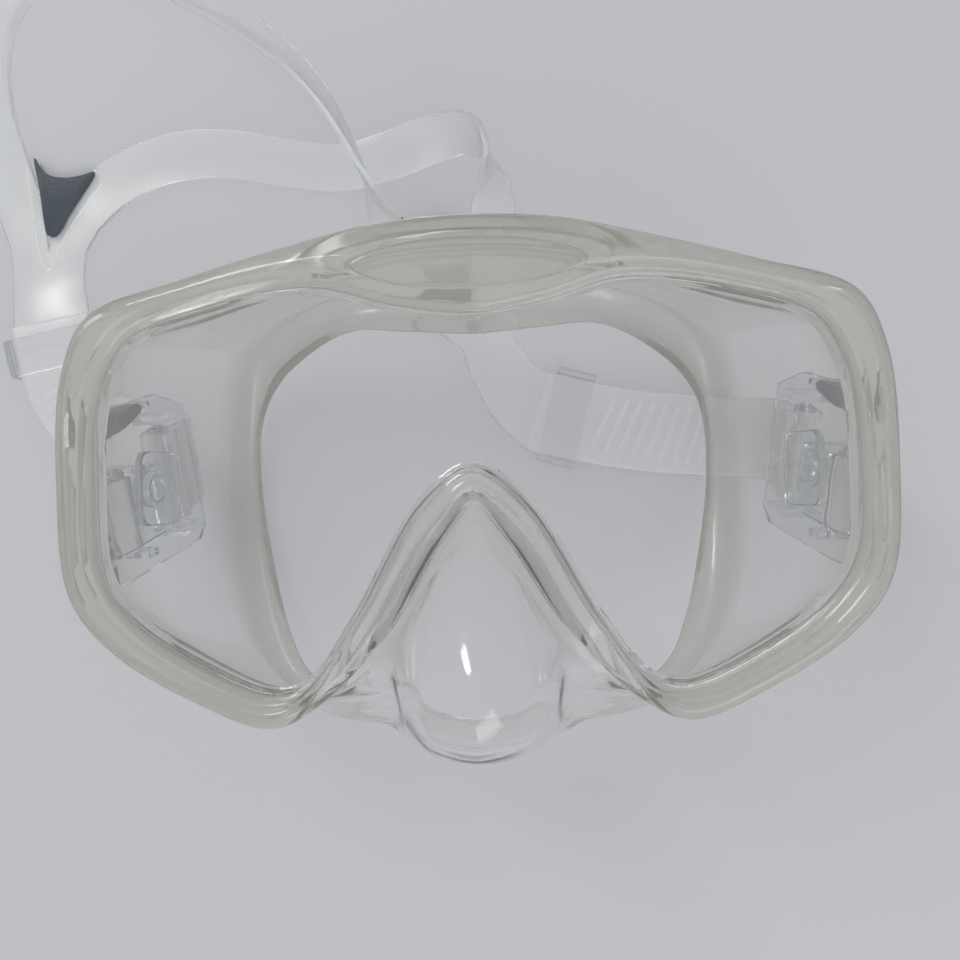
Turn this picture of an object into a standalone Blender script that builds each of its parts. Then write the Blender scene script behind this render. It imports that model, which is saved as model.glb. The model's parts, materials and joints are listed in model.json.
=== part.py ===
"""A frameless snorkel mask lying face-down: clear skirt, one glass pane, swivel buckles and a split strap.

Lengths are millimetres in the tables below and metres in the objects. The mask frame has its origin at the
middle of the glass's front face, +X to the wearer's left, +Y to the forehead and +Z out of the glass.
"""

import math

import bmesh
import bpy
import numpy as np
from mathutils import Matrix, Vector

MM = 0.001

# Pose of the mask on the surface: the glass lies this high, and the +X side rests on the doubled strap.
LENS_HEIGHT = 71.0
LENS_TILT = math.radians(2.0)

# Skirt outline stations from the top centre round to the apex of the nose notch, +X half.
LENS_EDGE = [
    (0, 31.3), (15, 33.2), (31, 37.2), (53, 34.4), (69, 28.2), (75, 17), (76.7, -1), (75.4, -20),
    (68, -30.3), (54, -39.7), (41.5, -44.6), (34.5, -42.6), (24.5, -29.5), (10.5, -6.3), (0, 0.8),
]
RIM_EDGE = [
    (0, 51), (17, 50), (35, 46), (57, 40), (77, 33.2), (82.6, 22), (84.3, -1), (82.3, -24),
    (74, -35), (58, -45.2), (42.5, -51.2), (33, -47.5), (18.5, -33), (5.5, -12.5), (0, -6.2),
]
FOLD = [
    (0, 44, -37), (16, 43.8, -36), (32.5, 42.2, -38), (48.4, 36.8, -49), (57, 28.5, -58),
    (61, 17, -63), (63, -2, -66.5), (61.5, -25, -63), (57, -40, -57), (50, -51, -51),
    (38, -58, -45), (27, -59.8, -42), (20, -60, -41), (10, -61.3, -38), (0, -61.5, -36),
]
LIP = [
    (0, 31.5, -35), (15, 32.5, -35), (29, 33, -36), (43.8, 26.9, -46), (52.5, 20, -56),
    (56.5, 12, -61.5), (57.5, -4, -64.5), (54, -25, -61.5), (50, -38, -56.5), (44.5, -48, -51.5),
    (34, -54, -46.5), (25, -56.6, -43.5), (18, -57.9, -42.2), (9, -59.2, -39.6), (0, -59.4, -38),
]
# The nose pocket: what the last four stations pass through between the rim and the fold.
POCKET = [
    [
        (29.5, -46.5, -9), (25.5, -47.2, -13), (22, -48.2, -16),
        (20, -50.2, -19), (20.5, -53, -24), (22.5, -57, -33),
    ],
    [(16.6, -32, 0.5), (16.2, -36, 4), (16, -41, 5), (15.5, -47, 3), (15.8, -53, -5), (17.5, -58, -20)],
    [(6.2, -15.5, 2.5), (8.5, -27, 10), (9.8, -40, 15.5), (9, -50.5, 13), (9.5, -57, 1), (10.3, -60, -17)],
    [(0, -9.5, 2), (0, -24, 12.5), (0, -40, 20), (0, -52, 17.5), (0, -58.5, 2), (0, -60.5, -16)],
]
WALL_STEPS = (0.0, 0.17, 0.34, 0.5, 0.67, 0.84)
WALL_INSET = 5.0
WALL_TOP = -9.0
WALL_THICKNESS = 1.8
SEAL_THICKNESS = 1.1
SEAL_DROP = 2.0
BEAD_FRONT = 3.2
LEDGE = 1.0
LEDGE_DEPTH = 1.8
GROOVE = 2.3
SAMPLES_PER_SPAN = 4

# Glass.
GLASS_BACK = -4.3
GLASS_STEP = -1.5
GLASS_FLANGE = 2.0
GLASS_INSET = 0.4
GLASS_CHAMFER = 0.35
GAP = 0.3

# Brow window: an eye-shaped plate in the top of the rim.
BROW_HALF_LENGTH = 24.0
BROW_TOP = 46.0
BROW_BOTTOM = 35.9
BROW_TIP = 41.3
BROW_FLOOR = -0.4
BROW_THICKNESS = 1.4

# Buckle frame: origin on the side wall, +U forward along the wall, V up the face, W out of the wall.
SWIVEL_X = 73.1
SWIVEL_Y = -2.0
SWIVEL_Z = -31.0
WALL_LEAN = math.radians(15.8)
SWIVEL_TURN = math.radians(16.0)
LUG_HALF = (7.5, 8.5)
LUG_CORNER = 3.0
LUG_LOW = 0.5
LUG_HIGH = 2.4
PLATE_REAR = -18.0
PLATE_OUTLINE = [
    (17.6, -17.6), (17.6, 14.5), (13.5, 20.7), (-8.0, 20.7), (-18.0, 16.2), (-18.0, -14.8), (-14.5, -17.6),
]
CHEEK_OUTER = 15.0
PLATE_LOW = 2.7
PLATE_HIGH = 4.7
CHEEK_REACH = -9.6
CHEEK_HIGH = 13.6
CHEEK_INNER = 13.0
PIN_RADIUS = 3.0
CAP_RADIUS = 4.4
CAP_HIGH = 6.5
CAP_CLEARANCE = 0.4
PIN_RISE = 0.1
LUG_BEVEL = 0.3
BUTTON_BEVEL = 0.5
BORE_EXTRA = 1.0
ROLLER_U = -14.0
ROLLER_W = 9.6
ROLLER_RADIUS = 2.6
ROLLER_HALF = 11.4
SLOT_U = (-12.4, -8.4)
SLOT_HALF = 10.5
AXLE_RADIUS = 1.2
LEVER_PIN_U = 3.5
LEVER_PIN_W = 9.2
LEVER_PIN_RADIUS = 0.9
LEVER_FRONT = 12.0
LEVER_REAR = -8.0
LEVER_UPPER = 4.2
LEVER_LOWER = -13.3
LEVER_LOW = 7.2
LEVER_HIGH = 11.6
LEVER_WALL = 1.3
LEVER_FLOOR = 1.5
LEVER_CLAW = 2.4
POST_HALF = 1.9
POST_RISE = 2.0
SINK = 1.0
POST_GAP = 0.4
POST_THICKNESS = 1.7
BUTTON_OUTLINE = [
    (13.5, 13.4), (13.5, 16.6), (11.2, 18.8), (-2.8, 19.8), (-4.0, 19.0), (-3.4, 17.4), (4.0, 15.2),
]
RAILS = [((13.9, 13.6), (15.2, 17.2)), ((-6.0, 16.6), (-4.5, 19.6))]
BUTTON_LOW = 5.0
BUTTON_HIGH = 9.0
RAIL_HIGH = 7.6
LOOP_END = -22.0
ARM_START = -25.0

# Strap: two layers on either side of a middle surface, from each buckle as far as its keeper.
STRAP_THICKNESS = 1.7
LAYER_GAP = 0.3
BAND_WIDTH = 12.5
KEEPER_LENGTH = 10.0
KEEPER_OPENING = (21.8, 4.4)
KEEPER_WALLS = (1.7, 1.0)
KEEPER_ROW = 7
TAIL_LAST_ROW = 8

# Middle surface of each arm, from its buckle towards the split: place, width direction, width.
ARM_LEFT = [
    ((-74.0, 6.2, 7.3), (-0.08, 0.965, 0.25), 21), ((-77.2, 7.0, 4.0), (-0.02, 0.99, 0.1), 21),
    ((-82.5, 7.4, 2.4), (0.1, 0.99, 0.02), 21), ((-89.4, 8.9, 2.1), (0.34, 0.94, 0.02), 21),
    ((-98.0, 13.8, 2.3), (0.66, 0.75, 0.01), 21), ((-104.2, 20.6, 2.7), (0.88, 0.48, 0), 21),
    ((-107.3, 27.6, 3.35), (0.979, 0.204, 0), 21), ((-108.9, 35.3, 3.35), (0.979, 0.204, 0), 21),
    ((-110.5, 43.0, 3.35), (0.982, 0.18, 0), 20.5), ((-111.6, 53, 2.0), (0.998, 0.06, 0), 19),
    ((-111.4, 62, 1.9), (1, -0.04, 0), 20),
]
ARM_RIGHT = [
    ((76.8, 5.7, 12.2), (0.07, 0.965, 0.25), 21), ((74.6, 6.3, 7.2), (0.04, 0.99, 0.12), 21),
    ((70.0, 6.8, 3.2), (0.04, 0.998, 0.02), 21), ((63.5, 7.2, 1.95), (0.08, 0.996, 0), 21),
    ((55.5, 7.9, 1.9), (0.14, 0.99, 0), 21), ((43.5, 9.2, 2.1), (0.22, 0.975, 0), 21),
    ((32, 11.4, 3.35), (0.265, 0.964, 0), 21), ((24.6, 13.25, 3.35), (0.265, 0.964, 0), 21),
    ((17.2, 15.3, 3.4), (0.32, 0.947, -0.02), 20.5), ((11.2, 20.2, 4.4), (0.66, 0.73, -0.18), 18),
    ((6.9, 27, 5.8), (0.76, 0.56, -0.33), 16.5), ((3.4, 34.4, 7.0), (0.75, 0.46, -0.47), 16),
]
# Middle of the two bands between the splits: x, y, z and the tilt of the width in degrees.
BAND_INNER = [
    (-102.5, 71.5, 1.0, 0), (-95.2, 78.2, 1.0, 0), (-85, 83.5, 1.9, 6), (-73, 86, 3.0, 14),
    (-60, 85.5, 3.6, 18), (-46.5, 83, 3.2, 16), (-32.5, 81.5, 2.2, 8), (-19, 84.5, 2.8, 14),
    (-7.5, 88, 4.4, 30), (0.8, 88.3, 6.4, 55), (5.6, 83.5, 7.4, 90), (7.2, 76, 6.6, 126),
    (6.8, 67.5, 4.4, 156), (6.6, 57, 4.2, 152), (6.9, 46, 4.4, 150),
]
BAND_OUTER = [
    (-118.3, 73, 1.0, 0), (-121.2, 84, 1.8, -6), (-123.6, 96, 3.0, -16), (-124.2, 109, 3.6, -20),
    (-121, 123, 3.8, -22), (-110.5, 134.5, 4.0, -25), (-93.5, 138, 4.6, -30), (-70, 127.5, 6.0, -38),
    (-53.5, 116, 8.0, -48), (-41.5, 104.5, 9.8, -60), (-32.5, 91, 11.4, -75), (-26, 77, 12.0, -90),
    (-21.8, 66.2, 11.0, -120), (-17.4, 56, 10.2, -165), (-9.8, 44.3, 10.2, -206),
]
STRAP_SAMPLES = 3
PATCH_ROWS = 6
PATCH_THICKNESS = 1.9
PATCH_SCOOP = 0.28
PATCH_CLEARANCE = 0.6

UP = Vector((0, 0, 1))


def clear_scene():
    for item in list(bpy.data.objects):
        bpy.data.objects.remove(item, do_unlink=True)


def material(name, color, roughness, metallic=0.0, transmission=0.0):
    made = bpy.data.materials.new(name)
    made.use_nodes = True
    shader = made.node_tree.nodes["Principled BSDF"]
    shader.inputs["Base Color"].default_value = (*color, 1.0)
    shader.inputs["Roughness"].default_value = roughness
    shader.inputs["Metallic"].default_value = metallic
    shader.inputs["Transmission Weight"].default_value = transmission
    return made


def empty(name, matrix, parent=None):
    made = bpy.data.objects.new(name, None)
    bpy.context.scene.collection.objects.link(made)
    made.parent = parent
    made.matrix_local = matrix
    return made


def add_object(name, bm, look, parent, smooth=True):
    """Turns a bmesh in millimetres into an object in metres under its parent."""
    bmesh.ops.scale(bm, vec=(MM, MM, MM), verts=bm.verts)
    bmesh.ops.recalc_face_normals(bm, faces=bm.faces)
    mesh = bpy.data.meshes.new(name)
    bm.to_mesh(mesh)
    bm.free()
    if smooth:
        mesh.shade_smooth()
        mesh.set_sharp_from_angle(angle=math.radians(35))
    made = bpy.data.objects.new(name, mesh)
    bpy.context.scene.collection.objects.link(made)
    made.parent = parent
    mesh.materials.append(look)
    return made


def cut(target, cutter):
    """Subtracts one object from another and hides the cutter."""
    cutter.hide_render = True
    cutter.display_type = "WIRE"
    modifier = target.modifiers.new("cut", "BOOLEAN")
    modifier.operation = "DIFFERENCE"
    modifier.object = cutter


def smooth_rows(rows, count, closed=False):
    """A smooth curve through rows of numbers whose first three are a place, count samples to a span."""
    rows = np.array(rows, dtype=float)
    total = len(rows)

    def row(k):
        if closed:
            return rows[k % total]
        if k < 0:
            return 2 * rows[0] - rows[1]
        if k >= total:
            return 2 * rows[-1] - rows[-2]
        return rows[k]

    def gap(k):
        return max(float(np.linalg.norm(row(k + 1)[:3] - row(k)[:3])) ** 0.5, 1e-3)

    def slope(k):
        before, after = gap(k - 1), gap(k)
        backward = (row(k) - row(k - 1)) / before
        forward = (row(k + 1) - row(k)) / after
        return (backward * after + forward * before) / (before + after)

    made = []
    for k in range(total if closed else total - 1):
        width = gap(k)
        for step in range(count):
            t = step / count
            made.append(
                row(k) * (2 * t**3 - 3 * t**2 + 1)
                + slope(k) * width * (t**3 - 2 * t**2 + t)
                + row(k + 1) * (3 * t**2 - 2 * t**3)
                + slope(k + 1) * width * (t**3 - t**2)
            )
    if not closed:
        made.append(rows[-1])
    return np.array(made)


def whole_ring(half):
    """Mirrors a half outline of stations and samples it as one closed ring, level or not."""
    points = [(*p, 0.0) if len(p) == 2 else tuple(p) for p in half]
    mirrored = [(-x, y, z) for x, y, z in reversed(points[1:-1])]
    return smooth_rows(points + mirrored, SAMPLES_PER_SPAN, closed=True)


def offset_ring(ring, distance):
    """Moves a level ring outwards in its plane."""
    along = np.roll(ring, -1, axis=0) - np.roll(ring, 1, axis=0)
    out = np.column_stack([-along[:, 1], along[:, 0], np.zeros(len(ring))])
    out /= np.linalg.norm(out, axis=1)[:, None]
    return ring + out * distance


def at_height(ring, z):
    made = np.array(ring)
    made[:, 2] = z
    return made


def wall_stations(step, share):
    """Stations of one ring of the side wall, share of the way from the rim down to the fold."""
    top = offset_ring(whole_ring(RIM_EDGE), -WALL_INSET)[::SAMPLES_PER_SPAN]
    made = []
    for k, fold in enumerate(FOLD):
        first_pocket = len(FOLD) - len(POCKET)
        if k >= first_pocket:
            made.append(POCKET[k - first_pocket][step])
        else:
            start = np.array([top[k][0], top[k][1], WALL_TOP])
            made.append(tuple(start + (np.array(fold) - start) * share))
    return made


def skirt_rings():
    """Closed section of the skirt at every sample round the mask, as rings in section order."""
    lens = whole_ring(LENS_EDGE)
    rim = whole_ring(RIM_EDGE)
    outer = [whole_ring(wall_stations(k, share)) for k, share in enumerate(WALL_STEPS)]
    fold = whole_ring(FOLD)
    lip = whole_ring(LIP)
    contact = (fold + lip) / 2
    contact[:, 2] = np.minimum(fold[:, 2], lip[:, 2]) - SEAL_DROP
    outer += [fold, contact, lip]
    inner = inner_surface(outer)
    bead = [
        at_height(lens, 0.6),
        at_height(lens * 0.75 + rim * 0.25, BEAD_FRONT * 0.85),
        at_height(lens * 0.45 + rim * 0.55, BEAD_FRONT),
        at_height(lens * 0.1 + rim * 0.9, BEAD_FRONT * 0.45),
        at_height(rim, -1.8),
        at_height(lens * 0.12 + rim * 0.88, -5.5),
    ]
    ledge = offset_ring(lens, -LEDGE)
    groove = offset_ring(lens, GROOVE)
    seat = [
        at_height(ledge, GLASS_BACK - LEDGE_DEPTH),
        at_height(ledge, GLASS_BACK - GAP),
        at_height(groove, GLASS_BACK - GAP),
        at_height(groove, GLASS_STEP + GAP),
        at_height(lens, GLASS_STEP + GAP),
    ]
    return bead + outer + inner[::-1] + seat


def inner_surface(outer):
    """The rings of a surface a wall thickness inside the given ones."""
    grid = np.array(outer)
    across = np.gradient(grid, axis=0)
    along = np.roll(grid, -1, axis=1) - np.roll(grid, 1, axis=1)
    normal = np.cross(along, across)
    normal /= np.linalg.norm(normal, axis=2)[:, :, None]
    made = []
    for k, ring in enumerate(grid[:-1]):
        thickness = SEAL_THICKNESS if k >= len(WALL_STEPS) else WALL_THICKNESS
        made.append(ring - normal[k] * thickness)
    return made


def torus(name, rings, look, parent):
    """A closed body whose section at each sample is the closed polygon through the rings."""
    bm = bmesh.new()
    grid = [[bm.verts.new(p) for p in ring] for ring in rings]
    count = len(rings[0])
    for k in range(len(grid)):
        here, there = grid[k], grid[(k + 1) % len(grid)]
        for j in range(count):
            n = (j + 1) % count
            bm.faces.new((here[j], here[n], there[n], there[j]))
    return add_object(name, bm, look, parent)


def stack(name, rings, look, parent, smooth=False):
    """A closed body through a pile of rings, with a flat cap at each end."""
    bm = bmesh.new()
    grid = [[bm.verts.new(p) for p in ring] for ring in rings]
    count = len(rings[0])
    for here, there in zip(grid[:-1], grid[1:]):
        for j in range(count):
            n = (j + 1) % count
            bm.faces.new((here[j], here[n], there[n], there[j]))
    bm.faces.new(grid[0])
    bm.faces.new(grid[-1])
    return add_object(name, bm, look, parent, smooth)


def brow_outline(grow):
    """The eye shape of the brow window, larger all round by grow."""
    half = BROW_HALF_LENGTH + 1.6 * grow
    points = []
    for k in range(24):
        angle = 2 * math.pi * k / 24
        rise = (BROW_TOP - BROW_TIP if math.sin(angle) > 0 else BROW_TIP - BROW_BOTTOM) + grow
        height = rise * math.sin(angle) * abs(math.sin(angle)) ** 0.25
        points.append((half * math.cos(angle), BROW_TIP + height))
    return points


def make_mask(frame, looks):
    skirt = torus("skirt", skirt_rings(), looks["silicone"], frame)
    lens = whole_ring(LENS_EDGE)
    face = offset_ring(lens, -GLASS_INSET)
    flange = offset_ring(lens, GLASS_FLANGE)
    rings = [
        at_height(offset_ring(flange, -GLASS_CHAMFER), GLASS_BACK),
        at_height(flange, GLASS_BACK + GLASS_CHAMFER),
        at_height(flange, GLASS_STEP),
        at_height(face, GLASS_STEP),
        at_height(face, -GLASS_CHAMFER),
        at_height(offset_ring(face, -GLASS_CHAMFER), 0.0),
    ]
    stack("lens", rings, looks["glass"], frame)
    low = [(x, y, BROW_FLOOR) for x, y in brow_outline(0)]
    high = [(x, y, BROW_FLOOR + BROW_THICKNESS) for x, y in brow_outline(-0.3)]
    stack("brow_window", [low, high], looks["clear"], frame)
    recess = [[(x, y, z) for x, y in brow_outline(GAP)] for z in (BROW_FLOOR - GAP, 9.0)]
    cut(skirt, stack("brow_recess", recess, looks["silicone"], frame))


def box_bm(low, high, bevel=0.0):
    """A box between two corners with its edges rounded off."""
    bm = bmesh.new()
    bmesh.ops.create_cube(bm, size=1.0)
    low, high = Vector(low), Vector(high)
    low, high = Vector(map(min, low, high)), Vector(map(max, low, high))
    for vert in bm.verts:
        vert.co = (low + high) / 2 + Vector(a * b for a, b in zip(vert.co, high - low))
    if bevel:
        bmesh.ops.bevel(bm, geom=bm.edges, offset=bevel, segments=2, profile=0.5, affect="EDGES")
    return bm


def prism(name, outline, low, high, look, parent, bevel=0.0):
    """Extrudes an outline in the U-V plane from W low to W high."""
    bm = bmesh.new()
    face = bm.faces.new([bm.verts.new((u, v, low)) for u, v in outline])
    lifted = bmesh.ops.extrude_face_region(bm, geom=[face])["geom"]
    for vert in (item for item in lifted if isinstance(item, bmesh.types.BMVert)):
        vert.co.z = high
    bmesh.ops.recalc_face_normals(bm, faces=bm.faces)
    if bevel:
        bmesh.ops.bevel(bm, geom=bm.edges, offset=bevel, segments=1, affect="EDGES")
    return add_object(name, bm, look, parent, smooth=False)


def round_body(name, profile, centre, axis, look, parent, sides=28):
    """Turns a closed profile of (radius, distance along the axis) about an axis through centre."""
    turn = Vector((0, 0, 1)).rotation_difference(Vector(axis)).to_matrix()
    solid = profile[0][0] == 0
    ring_profile = profile[1:-1] if solid else profile
    bm = bmesh.new()
    rings = []
    for radius, height in ring_profile:
        ring = []
        for k in range(sides):
            angle = 2 * math.pi * k / sides
            place = Vector((radius * math.cos(angle), radius * math.sin(angle), height))
            ring.append(bm.verts.new(turn @ place + Vector(centre)))
        rings.append(ring)
    pairs = list(zip(rings[:-1], rings[1:]))
    if solid:
        bm.faces.new(rings[0])
        bm.faces.new(rings[-1])
    else:
        pairs.append((rings[-1], rings[0]))
    for here, there in pairs:
        for k in range(sides):
            n = (k + 1) % sides
            bm.faces.new((here[k], here[n], there[n], there[k]))
    return add_object(name, bm, look, parent)


def cylinder(name, radius, low, high, centre, axis, look, parent, chamfer=0.3, sides=28):
    profile = [
        (0, low), (radius - chamfer, low), (radius, low + chamfer),
        (radius, high - chamfer), (radius - chamfer, high), (0, high),
    ]
    return round_body(name, profile, centre, axis, look, parent, sides)


def union(target, part):
    """Adds one object to another and hides the added one."""
    part.hide_render = True
    part.display_type = "WIRE"
    modifier = target.modifiers.new("union", "BOOLEAN")
    modifier.operation = "UNION"
    modifier.object = part


def swivel_matrix(side, turn=SWIVEL_TURN):
    """The buckle frame of one side in the mask frame, in metres, swivelled by turn towards the forehead."""
    forward = Vector((side * math.sin(WALL_LEAN), 0, math.cos(WALL_LEAN)))
    across = Vector((0, -side, 0))
    out = forward.cross(across)
    made = Matrix((forward, across, out)).transposed().to_4x4()
    made.translation = Vector((side * SWIVEL_X, SWIVEL_Y, SWIVEL_Z)) * MM
    return made @ Matrix.Rotation(side * turn, 4, "Z")


def rounded_rectangle(u_low, u_high, v_low, v_high, corner):
    """Outline of a rectangle with its corners cut round, counter-clockwise."""
    points = []
    centres = [
        (u_high - corner, v_high - corner, 0), (u_low + corner, v_high - corner, 90),
        (u_low + corner, v_low + corner, 180), (u_high - corner, v_low + corner, 270),
    ]
    for u, v, start in centres:
        for step in range(4):
            angle = math.radians(start + 30 * step)
            points.append((u + corner * math.cos(angle), v + corner * math.sin(angle)))
    return points


def flipped(low, high, up):
    """A V range measured upwards, in a frame whose V axis may point down."""
    return sorted((low * up, high * up))


def make_buckle(name, side, frame, looks):
    """One swivel buckle: lug on the wall, body, strap roller, release lever and locking button."""
    up = -side
    pivot = empty(f"swivel_{name}", swivel_matrix(side), frame)
    half_u, half_v = LUG_HALF
    lug = rounded_rectangle(-half_u, half_u, -half_v, half_v, LUG_CORNER)
    level = empty(f"lug_{name}", swivel_matrix(side, 0.0), frame)
    prism(f"lug_plate_{name}", lug, LUG_LOW, LUG_HIGH, looks["clear"], level, bevel=LUG_BEVEL)
    rounds = (
        ("swivel_pin", PIN_RADIUS, PLATE_LOW, PLATE_HIGH + PIN_RISE),
        ("swivel_cap", CAP_RADIUS, PLATE_HIGH + CAP_CLEARANCE, CAP_HIGH),
    )
    for kind, radius, low, high in rounds:
        cylinder(f"{kind}_{name}", radius, low, high, (0, 0, 0), (0, 0, 1), looks["clear"], pivot)
    make_buckle_body(name, up, pivot, looks)
    make_roller(name, pivot, looks)
    make_lever(name, up, pivot, looks)
    make_button(name, up, pivot, looks)
    return pivot


def make_buckle_body(name, up, pivot, looks):
    outline = [(u, v * up) for u, v in PLATE_OUTLINE]
    body = prism(f"buckle_body_{name}", outline, PLATE_LOW, PLATE_HIGH, looks["clear"], pivot)
    sink = PLATE_HIGH - SINK
    blocks = []
    for sign in (-1, 1):
        low, high = sorted((sign * CHEEK_INNER, sign * CHEEK_OUTER))
        blocks.append(((PLATE_REAR + 0.4, low, sink), (CHEEK_REACH, high, CHEEK_HIGH)))
    near = LEVER_UPPER + POST_GAP
    far = LEVER_LOWER - POST_GAP
    for edge, outer in ((near, near + POST_THICKNESS), (far - POST_THICKNESS, far)):
        low, high = flipped(edge, outer, up)
        top = LEVER_PIN_W + POST_RISE
        blocks.append(((LEVER_PIN_U - POST_HALF, low, sink), (LEVER_PIN_U + POST_HALF, high, top)))
    for (u_low, v_low), (u_high, v_high) in RAILS:
        low, high = flipped(v_low, v_high, up)
        blocks.append(((u_low, low, sink), (u_high, high, RAIL_HIGH)))
    for k, (corner, opposite) in enumerate(blocks):
        union(body, add_object(f"block_{name}_{k}", box_bm(corner, opposite), looks["clear"], pivot, False))
    above = PLATE_HIGH + SINK
    bore = cylinder(f"bore_{name}", PIN_RADIUS + GAP, 0.0, above, (0, 0, 0), (0, 0, 1), looks["clear"], pivot)
    cut(body, bore)
    slot = box_bm((SLOT_U[0], -SLOT_HALF, 0), (SLOT_U[1], SLOT_HALF, above))
    cut(body, add_object(f"slot_{name}", slot, looks["clear"], pivot, False))
    lever_pin(f"pin_bore_{name}", LEVER_PIN_RADIUS + GAP, BORE_EXTRA, up, pivot, looks["clear"], cut_from=body)


def lever_pin(name, radius, extra, up, pivot, look, cut_from=None):
    """The lever's hinge pin, or the hole it goes through when it is cut from a body."""
    low, high = flipped(
        LEVER_LOWER - POST_GAP - POST_THICKNESS - extra, LEVER_UPPER + POST_GAP + POST_THICKNESS + extra, up
    )
    centre = (LEVER_PIN_U, 0, LEVER_PIN_W)
    made = cylinder(name, radius, -high, -low, centre, (0, -1, 0), look, pivot, chamfer=0.15, sides=16)
    if cut_from:
        cut(cut_from, made)
    return made


def make_roller(name, pivot, looks):
    half = ROLLER_HALF
    bore = AXLE_RADIUS + GAP
    profile = [
        (bore, -half), (ROLLER_RADIUS - 0.3, -half), (ROLLER_RADIUS, 0.3 - half),
        (ROLLER_RADIUS, half - 0.3), (ROLLER_RADIUS - 0.3, half), (bore, half),
    ]
    hinge = empty(f"roller_hinge_{name}", Matrix.Translation(Vector((ROLLER_U, 0, ROLLER_W)) * MM), pivot)
    round_body(f"strap_roller_{name}", profile, (0, 0, 0), (0, 1, 0), looks["clear"], hinge, 24)
    reach = CHEEK_INNER - GAP
    centre = (ROLLER_U, 0, ROLLER_W)
    look = looks["steel"]
    cylinder(f"roller_axle_{name}", AXLE_RADIUS, -reach, reach, centre, (0, 1, 0), look, pivot, 0.2, 16)


def make_lever(name, up, pivot, looks):
    """A box-shaped lever that tips on its pin: pressing its front end lifts its claw off the strap."""
    hinge = empty(f"lever_hinge_{name}", Matrix.Translation(Vector((LEVER_PIN_U, 0, LEVER_PIN_W)) * MM), pivot)
    low, high = flipped(LEVER_LOWER, LEVER_UPPER, up)
    shift = Vector((LEVER_PIN_U, 0, LEVER_PIN_W))
    corner = Vector((LEVER_REAR, low, LEVER_LOW)) - shift
    opposite = Vector((LEVER_FRONT, high, LEVER_HIGH)) - shift
    lever = add_object(f"release_lever_{name}", box_bm(corner, opposite, 0.6), looks["clear"], hinge, False)
    hollow_low = Vector((LEVER_REAR + LEVER_WALL, low + LEVER_WALL, LEVER_LOW + LEVER_FLOOR)) - shift
    hollow_high = Vector((LEVER_PIN_U - LEVER_CLAW, high - LEVER_WALL, LEVER_HIGH + 2)) - shift
    hollow = box_bm(hollow_low, hollow_high)
    cut(lever, add_object(f"lever_hollow_{name}", hollow, looks["clear"], hinge, False))
    bore = LEVER_PIN_RADIUS + GAP
    lever_pin(f"lever_bore_{name}", bore, BORE_EXTRA, up, pivot, looks["clear"], cut_from=lever)
    lever_pin(f"lever_pin_{name}", LEVER_PIN_RADIUS, 0.0, up, pivot, looks["steel"])


def make_button(name, up, pivot, looks):
    """The dark locking button: a wedge that slides in from the upper edge."""
    outline = [(u, v * up) for u, v in BUTTON_OUTLINE]
    prism(f"locking_button_{name}", outline, BUTTON_LOW, BUTTON_HIGH, looks["slate"], pivot, bevel=BUTTON_BEVEL)


def loop_section():
    """Middle line of the strap round its roller in U and W, from the main layer to the tail."""
    layer = (STRAP_THICKNESS + LAYER_GAP) / 2
    radius = ROLLER_RADIUS + GAP + STRAP_THICKNESS / 2
    points = [(LOOP_END, ROLLER_W - layer), (ROLLER_U - 4.4, ROLLER_W - 2.1)]
    for step in range(9):
        angle = math.radians(-105 + 210 * step / 8)
        points.append((ROLLER_U + radius * math.cos(angle), ROLLER_W + radius * math.sin(angle)))
    points += [(ROLLER_U - 4.4, ROLLER_W + 2.1), (LOOP_END, ROLLER_W + layer)]
    return points


def make_loop(name, pivot, looks):
    """The end of the strap where it turns round the roller, as an extruded hairpin."""
    middle = np.array(loop_section())
    along = np.gradient(middle, axis=0)
    normal = np.column_stack([-along[:, 1], along[:, 0]])
    normal /= np.linalg.norm(normal, axis=1)[:, None]
    edge = np.vstack([middle + normal * STRAP_THICKNESS / 2, (middle - normal * STRAP_THICKNESS / 2)[::-1]])
    half = ARM_LEFT[0][2] / 2
    rings = [[(u, v, w) for u, w in edge] for v in (-half, half)]
    stack(f"strap_loop_{name}", rings, looks["silicone"], pivot)


def arm_rows(table, side, frame):
    """Rows of an arm's middle surface in world millimetres: place, half width vector, up vector."""
    start = frame @ swivel_matrix(side)
    across = start.to_3x3() @ Vector((0, -side, 0))
    rows = []
    for u in (ARM_START, ARM_START - 1.5):
        place = start @ (Vector((u, 0, ROLLER_W)) * MM) / MM
        rows.append((place, across, ARM_LEFT[0][2]))
    rows += [(Vector(place), Vector(direction), width) for place, direction, width in table]
    packed = [(*place, *(direction.normalized() * width / 2)) for place, direction, width in rows]
    return smooth_rows(packed, STRAP_SAMPLES)


def with_normals(places, across):
    along = np.gradient(places, axis=0)
    normal = np.cross(along, across)
    return normal / np.linalg.norm(normal, axis=1)[:, None]


def arm_layer(rows, layer_side):
    """Centre, half width vector and normal of one layer of an arm."""
    places, across = rows[:, :3], rows[:, 3:6]
    normal = with_normals(places, across)
    return places + normal * layer_side * (STRAP_THICKNESS + LAYER_GAP) / 2, across, normal


def band_rows(table, slot_side):
    """Outer edge, slot edge and normal of one band at every sample."""
    rows = smooth_rows(table, STRAP_SAMPLES)
    places = rows[:, :3]
    along = np.gradient(places, axis=0)
    along /= np.linalg.norm(along, axis=1)[:, None]
    level = np.cross(np.array(UP), along)
    level /= np.linalg.norm(level, axis=1)[:, None]
    rise = np.cross(along, level)
    tilt = np.radians(rows[:, 3])[:, None]
    width = (level * np.cos(tilt) + rise * np.sin(tilt)) * BAND_WIDTH / 2
    return places - width * slot_side, places + width * slot_side, with_normals(places, -width)


def pair(bm, place, normal):
    """The two corners of a sheet's edge, above and below its middle."""
    half = normal * STRAP_THICKNESS / 2
    return bm.verts.new(place + half), bm.verts.new(place - half)


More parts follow.
